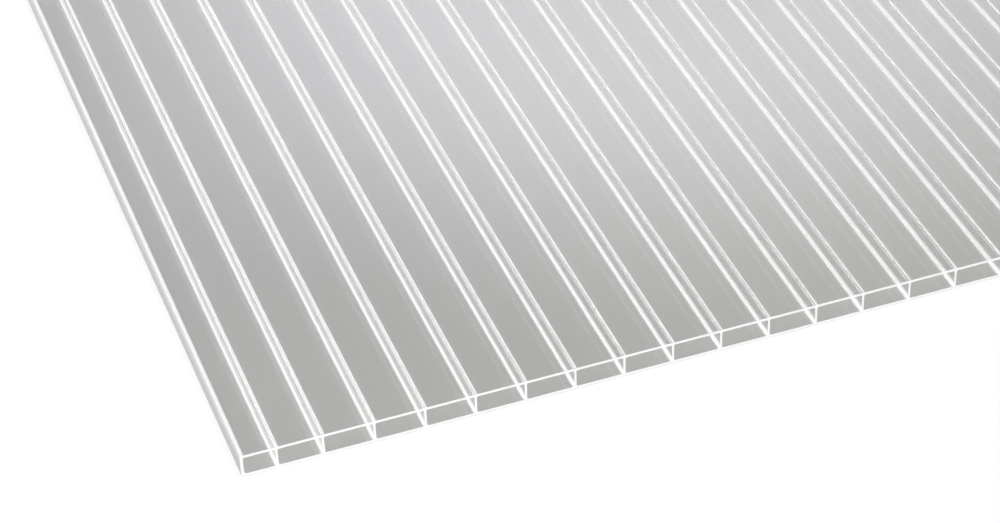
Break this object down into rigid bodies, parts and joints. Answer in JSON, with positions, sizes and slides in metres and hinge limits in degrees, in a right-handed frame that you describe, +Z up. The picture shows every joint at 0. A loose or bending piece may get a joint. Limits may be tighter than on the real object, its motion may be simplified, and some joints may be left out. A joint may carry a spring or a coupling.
{
  "type": "multiwall acrylic sheet",
  "caption": "Flat clear acrylic glazing sheet: skins joined by upright webs, with open chambers along its whole length.",
  "frame": {"origin": "middle of the underside", "axes": "+X across the webs, +Y along the chambers, +Z up through the thickness"},
  "size_m": [0.98, 2, 0.016],
  "materials": {
    "acrylic": "clear, glossy skins with matt sawn ends"
  },
  "bodies": {
    "root": {"multiwall_sheet": "acrylic"}
  },
  "joints": []
}
